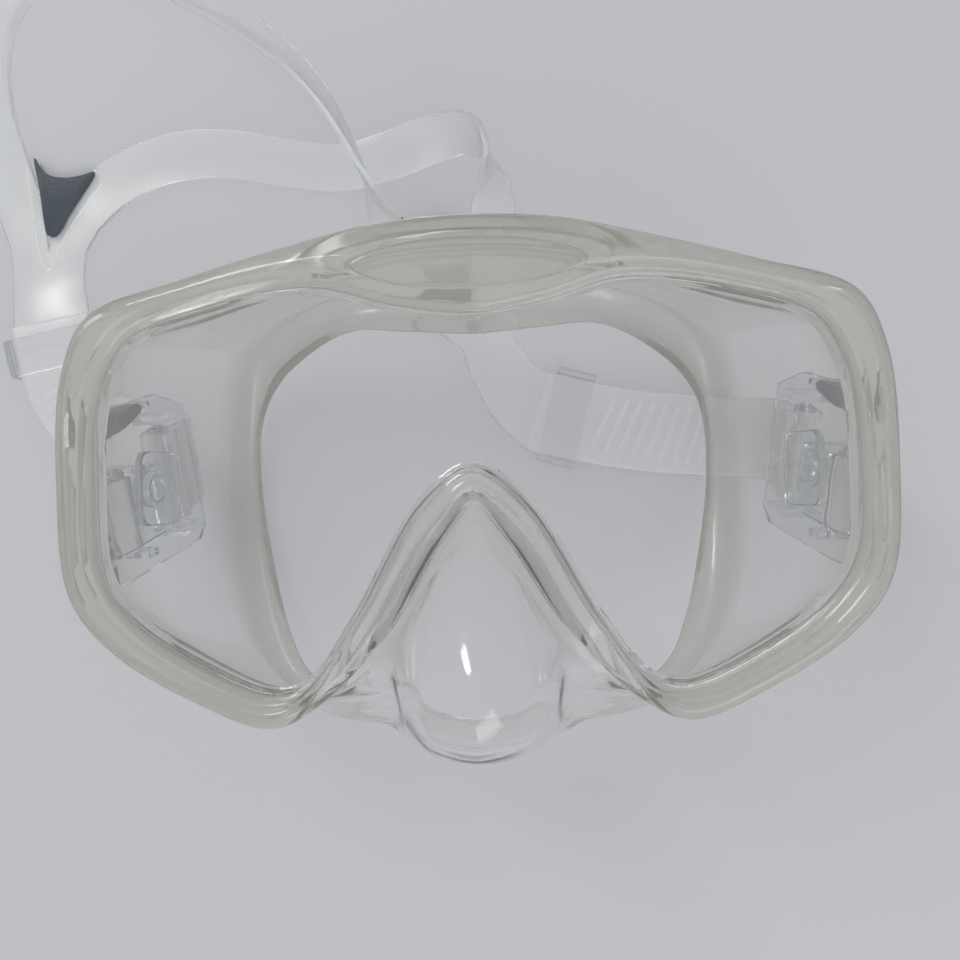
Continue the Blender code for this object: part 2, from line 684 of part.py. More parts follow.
def strip_faces(bm, outer, inner, joined):
    """Skins one half of the strap: joined says at which rows its inner edge is shared."""
    for k in range(len(outer) - 1):
        (a, b), (c, d) = outer[k], outer[k + 1]
        (e, f), (g, h) = inner[k], inner[k + 1]
        bm.faces.new((a, c, g, e))
        bm.faces.new((b, f, h, d))
        bm.faces.new((a, b, d, c))
        if not (joined[k] and joined[k + 1]):
            bm.faces.new((e, g, h, f))


def make_strap(root, frame, looks):
    """The split strap: an arm from each buckle, and two bands that leave a loop between them."""
    left, across_left, normal_left = arm_layer(arm_rows(ARM_LEFT, -1, frame), 1)
    right, across_right, normal_right = arm_layer(arm_rows(ARM_RIGHT, 1, frame), -1)
    right, across_right, normal_right = right[::-1], across_right[::-1], -normal_right[::-1]
    inner_band = band_rows(BAND_INNER, 1)
    outer_band = band_rows(BAND_OUTER, -1)
    bm = bmesh.new()
    halves = []
    shared_left = [pair(bm, place, normal) for place, normal in zip(left, normal_left)]
    shared_right = [pair(bm, place, normal) for place, normal in zip(right, normal_right)]
    for sign, (edge, slot, normal) in ((1, inner_band), (-1, outer_band)):
        outer = [pair(bm, p + sign * a, n) for p, a, n in zip(left, across_left, normal_left)]
        outer += [pair(bm, p, n) for p, n in zip(edge, normal)]
        outer += [pair(bm, p + sign * a, n) for p, a, n in zip(right, across_right, normal_right)]
        inner = shared_left + [pair(bm, p, n) for p, n in zip(slot, normal)] + shared_right
        joined = [True] * len(left) + [False] * len(slot) + [True] * len(right)
        strip_faces(bm, outer, inner, joined)
        halves.append(outer)
    for row, shared in ((0, shared_left[0]), (-1, shared_right[-1])):
        first, second = halves[0][row], halves[1][row]
        bm.faces.new((first[0], shared[0], second[0], second[1], shared[1], first[1]))
    add_object("split_strap", bm, looks["silicone"], root)
    make_patch("left", left[-1], inner_band, outer_band, 1, root, looks)
    make_patch("right", right[0], inner_band, outer_band, -1, root, looks)


def sheet_solid(name, grid, normals, thickness, look, parent):
    """A closed sheet of even thickness over a grid of rows of places, with one normal to a row."""
    bm = bmesh.new()
    sides = []
    for sign in (1, -1):
        shift = np.array(normals) * sign * thickness / 2
        sides.append([[bm.verts.new(p + move) for p in row] for row, move in zip(grid, shift)])
    rows, columns = len(grid), len(grid[0])
    for side in sides:
        for k in range(rows - 1):
            for j in range(columns - 1):
                bm.faces.new((side[k][j], side[k + 1][j], side[k + 1][j + 1], side[k][j + 1]))
    rim = [(k, 0) for k in range(rows)] + [(rows - 1, j) for j in range(1, columns)]
    rim += [(k, columns - 1) for k in range(rows - 2, -1, -1)] + [(0, j) for j in range(columns - 2, 0, -1)]
    for (a, b), (c, d) in zip(rim, rim[1:] + rim[:1]):
        bm.faces.new((sides[0][a][b], sides[0][c][d], sides[1][c][d], sides[1][a][b]))
    return add_object(name, bm, look, parent)


def make_patch(name, tip, inner_band, outer_band, step, root, looks):
    """The dark web that fills the crotch of a split, with a scooped free edge."""
    rows = range(PATCH_ROWS) if step > 0 else range(-1, -1 - PATCH_ROWS, -1)
    grid, normals = [], []
    for k in rows:
        a, b = inner_band[1][k], outer_band[1][k]
        shrink = (b - a) / np.linalg.norm(b - a) * PATCH_CLEARANCE
        grid.append([a + shrink, (a + b) / 2, b - shrink])
        normal = inner_band[2][k] + outer_band[2][k]
        normals.append(normal / np.linalg.norm(normal))
    grid[-1][1] = grid[-1][1] * (1 - PATCH_SCOOP) + tip * PATCH_SCOOP
    grid[-2][1] = (grid[-3][1] + grid[-1][1]) / 2
    sheet_solid(f"strap_patch_{name}", grid, normals, PATCH_THICKNESS, looks["slate"], root)


def make_tail(name, rows, layer_side, root, looks):
    """The free end of the strap, folded back from the buckle and held down by the keeper."""
    last = (TAIL_LAST_ROW + 2) * STRAP_SAMPLES + 1
    places, across, normal = arm_layer(rows, layer_side)
    grid = [[p + a, p, p - a] for p, a in zip(places[:last], across[:last])]
    sheet_solid(f"strap_tail_{name}", grid, normal[:last], STRAP_THICKNESS, looks["silicone"], root)


def make_keeper(name, rows, root, looks):
    """A clear sleeve round both layers of the strap, free to slide along it."""
    k = (KEEPER_ROW + 2) * STRAP_SAMPLES
    place, across = Vector(rows[k][:3]), Vector(rows[k][3:6]).normalized()
    along = Vector(rows[k + 2][:3] - rows[k - 2][:3])
    along = (along - across * along.dot(across)).normalized()
    matrix = Matrix((along, across, along.cross(across))).transposed().to_4x4()
    matrix.translation = place * MM
    slide = empty(f"keeper_slide_{name}", matrix, root)
    half = Vector((KEEPER_LENGTH, 0, 0)) / 2
    opening = Vector((KEEPER_LENGTH + 4, KEEPER_OPENING[0], KEEPER_OPENING[1])) / 2
    outer = half + Vector((0, KEEPER_OPENING[0] / 2 + KEEPER_WALLS[0], KEEPER_OPENING[1] / 2 + KEEPER_WALLS[1]))
    keeper = add_object(f"keeper_{name}", box_bm(-outer, outer, 0.4), looks["clear"], slide, False)
    cut(keeper, add_object(f"keeper_opening_{name}", box_bm(-opening, opening), looks["clear"], slide, False))


def centre_on_floor(root):
    """Moves the root so that the middle of the whole box's underside is the world origin."""
    bpy.context.view_layer.update()
    graph = bpy.context.evaluated_depsgraph_get()
    corners = []
    for item in bpy.data.objects:
        if item.type == "MESH" and not item.hide_render:
            shown = item.evaluated_get(graph)
            corners += [shown.matrix_world @ v.co for v in shown.data.vertices]
    corners = np.array(corners)
    low, high = corners.min(axis=0), corners.max(axis=0)
    root.location = (-(low[0] + high[0]) / 2, -(low[1] + high[1]) / 2, -low[2])
    bpy.context.view_layer.update()


def main():
    clear_scene()
    looks = {
        "silicone": material("clear_silicone", (0.80, 0.80, 0.77), 0.25, transmission=0.6),
        "glass": material("clear_glass", (0.92, 0.95, 0.95), 0.03, transmission=0.9),
        "clear": material("clear_plastic", (0.85, 0.88, 0.88), 0.08, transmission=0.8),
        "slate": material("slate_plastic", (0.055, 0.07, 0.085), 0.45),
        "steel": material("stainless_steel", (0.6, 0.6, 0.6), 0.25, metallic=1.0),
    }
    root = empty("mask_root", Matrix.Identity(4))
    pose = Matrix.Translation((0, 0, LENS_HEIGHT * MM)) @ Matrix.Rotation(-LENS_TILT, 4, "Y")
    frame = empty("mask_frame", pose, root)
    make_mask(frame, looks)
    make_strap(root, pose, looks)
    for name, side, table in (("left", -1, ARM_LEFT), ("right", 1, ARM_RIGHT)):
        pivot = make_buckle(name, side, frame, looks)
        make_loop(name, pivot, looks)
        rows = arm_rows(table, side, pose)
        make_tail(name, rows, side, root, looks)
        make_keeper(name, rows, root, looks)
    centre_on_floor(root)


if __name__ == "__main__":
    main()
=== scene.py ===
"""A clear snorkel mask lying face-down with its strap behind it, on a plain pale floor.

Tables are in millimetres. The mask frame has its origin at the middle of the glass's front face, +X to the
side whose strap passes under the skirt, +Y to the forehead and +Z out of the glass. The strap's tables are in
the frame of the surface, below that origin.
"""

import json
import math

import bmesh
import bpy
import numpy as np
from mathutils import Matrix, Vector


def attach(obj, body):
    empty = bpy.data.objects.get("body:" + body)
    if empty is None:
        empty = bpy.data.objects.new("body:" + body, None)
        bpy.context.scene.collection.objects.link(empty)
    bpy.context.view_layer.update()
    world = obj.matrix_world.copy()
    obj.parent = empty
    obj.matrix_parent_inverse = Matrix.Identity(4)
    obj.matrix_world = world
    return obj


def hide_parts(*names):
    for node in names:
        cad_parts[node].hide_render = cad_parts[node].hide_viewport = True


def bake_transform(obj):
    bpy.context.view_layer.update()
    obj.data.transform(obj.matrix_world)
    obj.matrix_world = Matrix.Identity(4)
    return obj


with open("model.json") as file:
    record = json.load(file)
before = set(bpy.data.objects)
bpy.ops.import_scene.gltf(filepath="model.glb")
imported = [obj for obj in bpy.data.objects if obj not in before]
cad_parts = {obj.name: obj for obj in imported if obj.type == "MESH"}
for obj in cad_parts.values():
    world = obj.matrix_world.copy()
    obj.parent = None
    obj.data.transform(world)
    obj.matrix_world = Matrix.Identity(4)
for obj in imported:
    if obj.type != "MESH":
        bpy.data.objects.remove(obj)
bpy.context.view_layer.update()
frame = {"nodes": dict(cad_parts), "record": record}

MM = 0.001
UP = Vector((0, 0, 1))

# Where the mask lies: the lens_front mount is 15 mm towards the forehead from the glass's middle.
MOUNT = next(m for m in frame["record"]["mounts"] if m["name"] == "lens_front")
MOUNT_Y = 15 * MM
LENS_HEIGHT = 71.0
LENS_TILT = math.radians(2.0)
CENTRE = Vector(MOUNT["pos_m"]) - Vector((0, MOUNT_Y, 0))
MASK = Matrix.Translation(CENTRE) @ Matrix.Rotation(-LENS_TILT, 4, "Y")
TABLE = Matrix.Translation(CENTRE - UP * LENS_HEIGHT * MM)

# Skirt outline stations from the top centre round to the apex of the nose notch, +X half.
LENS_EDGE = [
    (0, 31.3), (15, 33.2), (31, 37.2), (53, 34.4), (69, 28.2), (75, 17), (76.7, -1), (75.4, -20),
    (68, -30.3), (54, -39.7), (41.5, -44.6), (34.5, -42.6), (24.5, -29.5), (10.5, -6.3), (0, 0.8),
]
RIM_EDGE = [
    (0, 51), (17, 50), (35, 46), (57, 40), (77, 33.2), (82.6, 22), (84.3, -1), (82.3, -24),
    (74, -35), (58, -45.2), (42.5, -51.2), (33, -47.5), (18.5, -33), (5.5, -12.5), (0, -6.2),
]
FOLD = [
    (0, 44, -37), (16, 43.8, -36), (32.5, 42.2, -38), (48.4, 36.8, -49), (57, 28.5, -58),
    (61, 17, -63), (63, -2, -66.5), (61.5, -25, -63), (57, -40, -57), (50, -51, -51),
    (38, -58, -45), (27, -59.8, -42), (20, -60, -41), (10, -61.3, -38), (0, -61.5, -36),
]
LIP = [
    (0, 31.5, -35), (15, 32.5, -35), (29, 33, -36), (43.8, 26.9, -46), (52.5, 20, -56),
    (56.5, 12, -61.5), (57.5, -4, -64.5), (54, -25, -61.5), (50, -38, -56.5), (44.5, -48, -51.5),
    (34, -54, -46.5), (25, -56.6, -43.5), (18, -57.9, -42.2), (9, -59.2, -39.6), (0, -59.4, -38),
]
POCKET = [
    [
        (29.5, -46.5, -9), (25.5, -47.2, -13), (22, -48.2, -16),
        (20, -50.2, -19), (20.5, -53, -24), (22.5, -57, -33),
    ],
    [(16.6, -32, 0.5), (16.2, -36, 4), (16, -41, 5), (15.5, -47, 3), (15.8, -53, -5), (17.5, -58, -20)],
    [(6.2, -15.5, 2.5), (8.5, -27, 10), (9.8, -40, 15.5), (9, -50.5, 13), (9.5, -57, 1), (10.3, -60, -17)],
    [(0, -9.5, 2), (0, -24, 12.5), (0, -40, 20), (0, -52, 17.5), (0, -58.5, 2), (0, -60.5, -16)],
]
ARM_LEFT = [
    ((-74.0, 6.2, 7.3), (-0.08, 0.965, 0.25), 21), ((-77.2, 7.0, 4.0), (-0.02, 0.99, 0.1), 21),
    ((-82.5, 7.4, 2.4), (0.1, 0.99, 0.02), 21), ((-89.4, 8.9, 2.1), (0.34, 0.94, 0.02), 21),
    ((-98.0, 13.8, 2.3), (0.66, 0.75, 0.01), 21), ((-104.2, 20.6, 2.7), (0.88, 0.48, 0), 21),
    ((-107.3, 27.6, 3.35), (0.979, 0.204, 0), 21), ((-108.9, 35.3, 3.35), (0.979, 0.204, 0), 21),
    ((-110.5, 43.0, 3.35), (0.982, 0.18, 0), 20.5), ((-111.6, 53, 2.0), (0.998, 0.06, 0), 19),
    ((-111.4, 62, 1.9), (1, -0.04, 0), 20),
]
ARM_RIGHT = [
    ((76.8, 5.7, 12.2), (0.07, 0.965, 0.25), 21), ((74.6, 6.3, 7.2), (0.04, 0.99, 0.12), 21),
    ((70.0, 6.8, 3.2), (0.04, 0.998, 0.02), 21), ((63.5, 7.2, 1.95), (0.08, 0.996, 0), 21),
    ((55.5, 7.9, 1.9), (0.14, 0.99, 0), 21), ((43.5, 9.2, 2.1), (0.22, 0.975, 0), 21),
    ((32, 11.4, 3.35), (0.265, 0.964, 0), 21), ((24.6, 13.25, 3.35), (0.265, 0.964, 0), 21),
    ((17.2, 15.3, 3.4), (0.32, 0.947, -0.02), 20.5), ((11.2, 20.2, 4.4), (0.66, 0.73, -0.18), 18),
    ((6.9, 27, 5.8), (0.76, 0.56, -0.33), 16.5), ((3.4, 34.4, 7.0), (0.75, 0.46, -0.47), 16),
]
BAND_INNER = [
    (-102.5, 71.5, 1.0, 0), (-95.2, 78.2, 1.0, 0), (-85, 83.5, 1.9, 6), (-73, 86, 3.0, 14),
    (-60, 85.5, 3.6, 18), (-46.5, 83, 3.2, 16), (-32.5, 81.5, 2.2, 8), (-19, 84.5, 2.8, 14),
    (-7.5, 88, 4.4, 30), (0.8, 88.3, 6.4, 55), (5.6, 83.5, 7.4, 90), (7.2, 76, 6.6, 126),
    (6.8, 67.5, 4.4, 156), (6.6, 57, 4.2, 152), (6.9, 46, 4.4, 150),
]
BAND_OUTER = [
    (-118.3, 73, 1.0, 0), (-121.2, 84, 1.8, -6), (-123.6, 96, 3.0, -16), (-124.2, 109, 3.6, -20),
    (-121, 123, 3.8, -22), (-110.5, 134.5, 4.0, -25), (-93.5, 138, 4.6, -30), (-70, 127.5, 6.0, -38),
    (-53.5, 116, 8.0, -48), (-41.5, 104.5, 9.8, -60), (-32.5, 91, 11.4, -75), (-26, 77, 12.0, -90),
    (-21.8, 66.2, 11.0, -120), (-17.4, 56, 10.2, -165), (-9.8, 44.3, 10.2, -206),
]
WALL_STEPS = (0.0, 0.17, 0.34, 0.5, 0.67, 0.84)
WALL_INSET = 5.0
WALL_TOP = -9.0
WALL_THICKNESS = 1.8
SEAL_THICKNESS = 1.1
SEAL_DROP = 2.0
SEAL_START = 0.68
THICKNESS_BLUR = 4
LIP_TAPER = 14
LIP_THINNEST = 0.25
LEDGE = 1.0
LEDGE_DEPTH = 1.8
GROOVE = 2.3
RING_SAMPLES = 12
SECTION_SAMPLES = 4
NOSE_CLEAR = 0.3
NOSE_STATIONS = (0, 2.6, 4.2)
BEAD_HAZE = 0.62
SEAT_HAZE = 0.3
# Haze down the wall: share of the way from the bead to the seal's lip, and haze there.
WALL_HAZE = (
    (0, 0.5), (0.08, 0.25), (0.2, 0.12), (0.55, 0.14), (0.68, 0.4), (0.8, 0.55), (1.0, 0.55),
)

# Rim bead from the glass to the outer edge: share of the way across, and height.
BEAD_PROFILE = [
    (0.0, -1.2), (0.0, 0.3), (0.03, 1.1), (0.1, 1.75), (0.2, 2.1), (0.27, 2.15), (0.31, 2.55), (0.38, 3.0),
    (0.5, 3.25), (0.62, 3.15), (0.74, 2.75), (0.84, 2.1), (0.92, 1.2), (0.98, 0.1), (1.0, -1.3),
    (0.985, -2.8), (0.93, -4.4), (0.84, -5.9),
]

# Glass.
GLASS_BACK = -4.3
GLASS_STEP = -1.5
GLASS_FLANGE = 2.0
GLASS_INSET = 0.4
GLASS_CHAMFER = 0.35
GAP = 0.3

# Brow window.
BROW_HALF_LENGTH = 24.0
BROW_TOP = 46.0
BROW_BOTTOM = 35.9
BROW_TIP = 41.3
BROW_FLOOR = -0.4
BROW_RECESS_GAP = 0.15
BROW_RECESS_TOP = 9.0
BROW_HEIGHT = 2.0
BROW_DOME = 0.2
BROW_TIP_GROWTH = 1.6
BROW_SHARPNESS = 0.25
# Edge of the brow window: how far out, and height.
BROW_PROFILE = ((0.0, 0.0), (0.05, 0.3), (0.05, 1.5), (-0.2, 1.85), (-0.7, 2.0), (-1.3, 2.0))

# Buckle frame on the side wall.
SWIVEL_X = 73.1
SWIVEL_Y = -2.0
SWIVEL_Z = -31.0
WALL_LEAN = math.radians(15.8)
SWIVEL_TURN = math.radians(16.0)
ROLLER_U = -14.0
ROLLER_W = 9.6
ROLLER_RADIUS = 2.6
LOOP_END = -22.0
ARM_START = -25.0
ARM_START_STEP = 1.5
LOOP_HALF_TURN = 105
LOOP_STEPS = 16
LOOP_SHOULDER = (4.4, 2.1)

# Strap.
STRAP_THICKNESS = 1.7
LAYER_GAP = 0.3
BAND_WIDTH = 12.5
KEEPER_ROW = 7
TAIL_LAST_ROW = 8
STRAP_SAMPLES = 8
# Half the strap's section: distance in from its edge, and height, as shares of its half width and thickness.
STRAP_SURFACE = 0.82
BORDER_WIDTHS = (0.0, 0.035, 0.075, 0.13, 0.2, 1.0)
BORDER_LIFTS = (0.35, 0.85, 1.0, 1.0, STRAP_SURFACE, STRAP_SURFACE)
# Rounded edge of the split strap: reach inwards, and height as a share of half the thickness.
EDGE_SHAPE = ((0.5, 1.0), (0.2, 0.88), (0.04, 0.5), (0.04, -0.5), (0.2, -0.88), (0.5, -1.0))
PATCH_ROWS = 6
PATCH_COLUMNS = 9
PATCH_THICKNESS = 1.9
PATCH_BEVEL = 0.3
PATCH_SCOOP = 0.2
PATCH_CLEARANCE = 0.6
RIB_SPAN = 0.74
RIB_SLANT = -2.2
RIB_HALF = 0.6
RIB_RISE = 0.6
RIB_SINK = 0.08
RIB_STEPS = 9
RIB_ROWS = {
    "left": [6.0, 6.3, 6.6, 6.9, 7.2, 7.5, 7.8],
    "right": [5.2, 5.6, 6.0, 6.3, 6.6, 6.9, 7.2, 7.5, 7.8],
}
WEB_BORDER = [
    (-116.2, 84.0, 2.1), (-115.6, 78.0, 1.9), (-114.8, 70.0, 1.8), (-113.6, 62.0, 1.75), (-112.6, 58.4, 1.75),
    (-111.5, 57.2, 1.75), (-110.4, 58.2, 1.75), (-108.6, 62.4, 1.75), (-105.2, 68.0, 1.8),
    (-100.6, 74.4, 1.85), (-96.4, 79.4, 2.0),
]
LEFT_WEB = [
    (-114.0, 86.7), (-113.0, 84.6), (-111.8, 83.1), (-109.6, 81.8), (-105.7, 81.3), (-101.7, 81.8),
    (-98.3, 82.5), (-101.9, 76.2), (-105.5, 71.0), (-107.8, 67.1), (-109.7, 65.7), (-111.4, 66.4),
    (-112.2, 69.9), (-113.0, 77.9),
]
WEB_MIDDLE = (-108.5, 77.0, 0)
WEB_LEVEL = 1.0
WEB_CLIMB_START = 78
WEB_CLIMB = 0.09
# Rings of the left web: share of the way in to its middle, and height above its level.
WEB_EDGE = ((0.0, -0.54), (0.0, 0.9), (0.03, 1.035))

# ---------------------------------------------------------------- materials


def new_material(name):
    made = bpy.data.materials.new(name)
    made.use_nodes = True
    tree = made.node_tree
    tree.nodes.clear()
    return made, tree, tree.nodes.new("ShaderNodeOutputMaterial")


def math_node(tree, operation, first, second, clamp=False):
    node = tree.nodes.new("ShaderNodeMath")
    node.operation = operation
    node.use_clamp = clamp
    for socket, value in zip(node.inputs, (first, second)):
        if isinstance(value, (int, float)):
            socket.default_value = value
        else:
            tree.links.new(value, socket)
    return node.outputs[0]


def noise_node(tree, scale, detail=3.0, roughness=0.5):
    coordinates = tree.nodes.new("ShaderNodeTexCoord")
    node = tree.nodes.new("ShaderNodeTexNoise")
    node.inputs["Scale"].default_value = scale
    node.inputs["Detail"].default_value = detail
    node.inputs["Roughness"].default_value = roughness
    tree.links.new(coordinates.outputs["Object"], node.inputs["Vector"])
    return node.outputs["Fac"]


def bump_node(tree, height, distance, strength=1.0):
    node = tree.nodes.new("ShaderNodeBump")
    node.inputs["Strength"].default_value = strength
    node.inputs["Distance"].default_value = distance
    tree.links.new(height, node.inputs["Height"])
    return node.outputs["Normal"]


def facing_power(tree, power, normal=None):
    node = tree.nodes.new("ShaderNodeLayerWeight")
    node.inputs["Blend"].default_value = 0.5
    if normal:
        tree.links.new(normal, node.inputs["Normal"])
    return math_node(tree, "POWER", node.outputs["Facing"], power)


def see_through(name, color, haze, edge, roughness, ior=1.41, ripple=0.00005, tint=(1, 1, 1), passed=0.97,
                use_attribute=False):
    """Clear moulded stuff that bends what is behind it, with a haze that thickens where it is seen edge-on;
    on the clear and frosted plastics that edge-on part is painted shade, greying their edges.

    Light on its way to a matt surface goes straight through, dimmed to passed at each skin.
    """
    made, tree, output = new_material(name)
    links = tree.links
    normal = bump_node(tree, noise_node(tree, 90.0, 3.0), ripple)
    clear = tree.nodes.new("ShaderNodeBsdfPrincipled")
    clear.inputs["Base Color"].default_value = (*tint, 1)
    clear.inputs["Roughness"].default_value = roughness
    clear.inputs["IOR"].default_value = ior
    clear.inputs["Transmission Weight"].default_value = 1.0
    links.new(normal, clear.inputs["Normal"])
    body = tree.nodes.new("ShaderNodeBsdfPrincipled")
    body.inputs["Base Color"].default_value = (*color, 1)
    body.inputs["Roughness"].default_value = 0.3
    # Seen edge-on the surface goes over to its colour: milky haze on the silicone, painted shade along the
    # edges of the clear and frosted plastics.
    level = math_node(tree, "MULTIPLY", facing_power(tree, 2.2), edge)
    cloud = math_node(tree, "MULTIPLY_ADD", noise_node(tree, 45.0, 4.0), 0.35)
    cloud.node.inputs[2].default_value = 0.82
    base = math_node(tree, "MULTIPLY", cloud, haze)
    if use_attribute:
        attribute = tree.nodes.new("ShaderNodeAttribute")
        attribute.attribute_name = "haze"
        base = math_node(tree, "MULTIPLY", base, attribute.outputs["Fac"])
    opacity = math_node(tree, "ADD", base, level, clamp=True)
    mixed = tree.nodes.new("ShaderNodeMixShader")
    links.new(opacity, mixed.inputs["Fac"])
    links.new(clear.outputs[0], mixed.inputs[1])
    links.new(body.outputs[0], mixed.inputs[2])
    lamps = tree.nodes.new("ShaderNodeLightPath")
    passing = tree.nodes.new("ShaderNodeBsdfTransparent")
    passing.inputs["Color"].default_value = (passed, passed, passed, 1)
    top = mixed
    for ray in ("Is Shadow Ray", "Is Diffuse Ray"):
        below = top
        top = tree.nodes.new("ShaderNodeMixShader")
        links.new(lamps.outputs[ray], top.inputs["Fac"])
        links.new(below.outputs[0], top.inputs[1])
        links.new(passing.outputs[0], top.inputs[2])
    links.new(top.outputs[0], output.inputs["Surface"])
    return made


def solid(name, color, roughness, metallic=0.0, grain=0.0001, grain_scale=900.0, variation=0.15):
    """Moulded plastic or metal with a fine grain and slight change of shade and gloss."""
    made, tree, output = new_material(name)
    links = tree.links
    body = tree.nodes.new("ShaderNodeBsdfPrincipled")
    body.inputs["Metallic"].default_value = metallic
    shade = tree.nodes.new("ShaderNodeMix")
    shade.data_type = "RGBA"
    shade.inputs["A"].default_value = (*[c * (1 - variation) for c in color], 1)
    shade.inputs["B"].default_value = (*[min(1, c * (1 + variation)) for c in color], 1)
    links.new(noise_node(tree, 120.0, 4.0), shade.inputs["Factor"])
    links.new(shade.outputs["Result"], body.inputs["Base Color"])
    rough = math_node(tree, "MULTIPLY_ADD", noise_node(tree, 300.0, 3.0), 0.18)
    rough.node.inputs[2].default_value = roughness - 0.09
    links.new(rough, body.inputs["Roughness"])
    links.new(bump_node(tree, noise_node(tree, grain_scale, 2.0), grain), body.inputs["Normal"])
    links.new(body.outputs[0], output.inputs["Surface"])
    return made


LOOKS = {
    "skirt": see_through(
        "clear_silicone_skirt", (0.47, 0.455, 0.395), 0.6, 0.06, 0.04, passed=0.89, use_attribute=True
    ),
    "strap": see_through("clear_silicone_strap", (0.76, 0.77, 0.77), 0.24, 0.12, 0.24, passed=0.96),
    "rib": see_through("clear_silicone_rib", (0.80, 0.81, 0.80), 0.34, 0.22, 0.2, passed=0.96),
    "brow": see_through("brow_window_plastic", (0.47, 0.465, 0.43), 0.3, 0.05, 0.05, passed=0.93),
    "glass": see_through("clear_glass", (0.5, 0.56, 0.55), 0.0, 0.05, 0.0, 1.5, 0.0, passed=0.985),
    # The clear and frosted plastics turn grey where seen edge-on: painted shade along their edges.
    "clear": see_through("clear_plastic", (0.33, 0.38, 0.40), 0.05, 0.3, 0.02, 1.55, 0.00002),
    "frosted": see_through("frosted_plastic", (0.50, 0.51, 0.54), 0.1, 0.7, 0.1, 1.5, 0.00006),
    "slate": solid("slate_plastic", (0.055, 0.07, 0.085), 0.45),
    "steel": solid("stainless_steel", (0.62, 0.62, 0.62), 0.25, metallic=1.0, grain=0.00003),
}

# ---------------------------------------------------------------- mesh helpers


def add_piece(name, bm, look, body, matrix=None, smooth_angle=40, recalc=True):
    """Turns a bmesh in millimetres, in the frame of matrix, into a piece that rides on a body."""
    bm.transform((matrix or TABLE) @ Matrix.Scale(MM, 4))
    if recalc:
        bmesh.ops.recalc_face_normals(bm, faces=bm.faces)
    mesh = bpy.data.meshes.new(name)
    bm.to_mesh(mesh)
    bm.free()
    mesh.shade_smooth()
    mesh.set_sharp_from_angle(angle=math.radians(smooth_angle))
    made = bpy.data.objects.new(name, mesh)
    bpy.context.scene.collection.objects.link(made)
    mesh.materials.append(LOOKS[look])
    if body:
        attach(made, body)
    return made


def apply_modifiers(item):
    graph = bpy.context.evaluated_depsgraph_get()
    mesh = bpy.data.meshes.new_from_object(item.evaluated_get(graph))
    item.modifiers.clear()
    item.data = mesh


def cut(target, cutter):
    modifier = target.modifiers.new("cut", "BOOLEAN")
    modifier.operation = "DIFFERENCE"
    modifier.solver = "EXACT"
    modifier.object = cutter
    apply_modifiers(target)
    bpy.data.objects.remove(cutter, do_unlink=True)


def bevel(item, width):
    modifier = item.modifiers.new("bevel", "BEVEL")
    modifier.width = width * MM
    modifier.segments = 2
    modifier.limit_method = "ANGLE"
    modifier.angle_limit = math.radians(50)
    modifier.use_clamp_overlap = True
    apply_modifiers(item)
    item.data.shade_smooth()
    item.data.set_sharp_from_angle(angle=math.radians(40))


def smooth_rows(rows, count, closed=False):
    """A smooth curve through rows of numbers whose first three are a place, count samples to a span."""
    rows = np.array(rows, dtype=float)
    total = len(rows)

    def row(k):
        if closed:
            return rows[k % total]
        if k < 0:
            return 2 * rows[0] - rows[1]
        if k >= total:
            return 2 * rows[-1] - rows[-2]
        return rows[k]

    def gap(k):
        return max(float(np.linalg.norm(row(k + 1)[:3] - row(k)[:3])) ** 0.5, 1e-3)

    def slope(k):
        before, after = gap(k - 1), gap(k)
        backward = (row(k) - row(k - 1)) / before
        forward = (row(k + 1) - row(k)) / after
        return (backward * after + forward * before) / (before + after)

    made = []
    steps = np.arange(count)[:, None] / count
    for k in range(total if closed else total - 1):
        width = gap(k)
        made.append(
            row(k) * (2 * steps**3 - 3 * steps**2 + 1)
            + slope(k) * width * (steps**3 - 2 * steps**2 + steps)
            + row(k + 1) * (3 * steps**2 - 2 * steps**3)
            + slope(k + 1) * width * (steps**3 - steps**2)
        )
    if not closed:
        made.append(rows[-1:])
    return np.vstack(made)


def whole_ring(half):
    """Mirrors a half outline of stations and samples it as one closed ring, level or not."""
    points = [(*p, 0.0) if len(p) == 2 else tuple(p) for p in half]
    mirrored = [(-x, y, z) for x, y, z in reversed(points[1:-1])]
    return smooth_rows(points + mirrored, RING_SAMPLES, closed=True)


def offset_ring(ring, distance):
    """Moves a level ring outwards in its plane."""
    along = np.roll(ring, -1, axis=0) - np.roll(ring, 1, axis=0)
    out = np.column_stack([-along[:, 1], along[:, 0], np.zeros(len(ring))])
    out /= np.linalg.norm(out, axis=1)[:, None]
    return ring + out * distance


def at_height(ring, z):
    made = np.array(ring)
    made[:, 2] = z
    return made


def lofted(rings, closed_section=True, caps=False):
    """A bmesh through closed rings, joined back to the first ring or capped."""
    bm = bmesh.new()
    grid = [[bm.verts.new(p) for p in ring] for ring in rings]
    count = len(rings[0])
    pairs = list(zip(grid[:-1], grid[1:]))
    if closed_section:
        pairs.append((grid[-1], grid[0]))
    for here, there in pairs:
        for j in range(count):
            n = (j + 1) % count
            bm.faces.new((here[j], here[n], there[n], there[j]))
    if caps:
        bm.faces.new(grid[0])
        bm.faces.new(grid[-1])
    return bm


# ---------------------------------------------------------------- skirt and glass


def wall_stations(step, share):
    """Stations of one ring of the side wall, share of the way from the rim down to the fold."""
    top = offset_ring(whole_ring(RIM_EDGE), -WALL_INSET)[::RING_SAMPLES]
    made = []
    first_pocket = len(FOLD) - len(POCKET)
    for k, fold in enumerate(FOLD):
        if k >= first_pocket:
            made.append(POCKET[k - first_pocket][step])
        else:
            start = np.array([top[k][0], top[k][1], WALL_TOP])
            made.append(tuple(start + (np.array(fold) - start) * share))
    return made


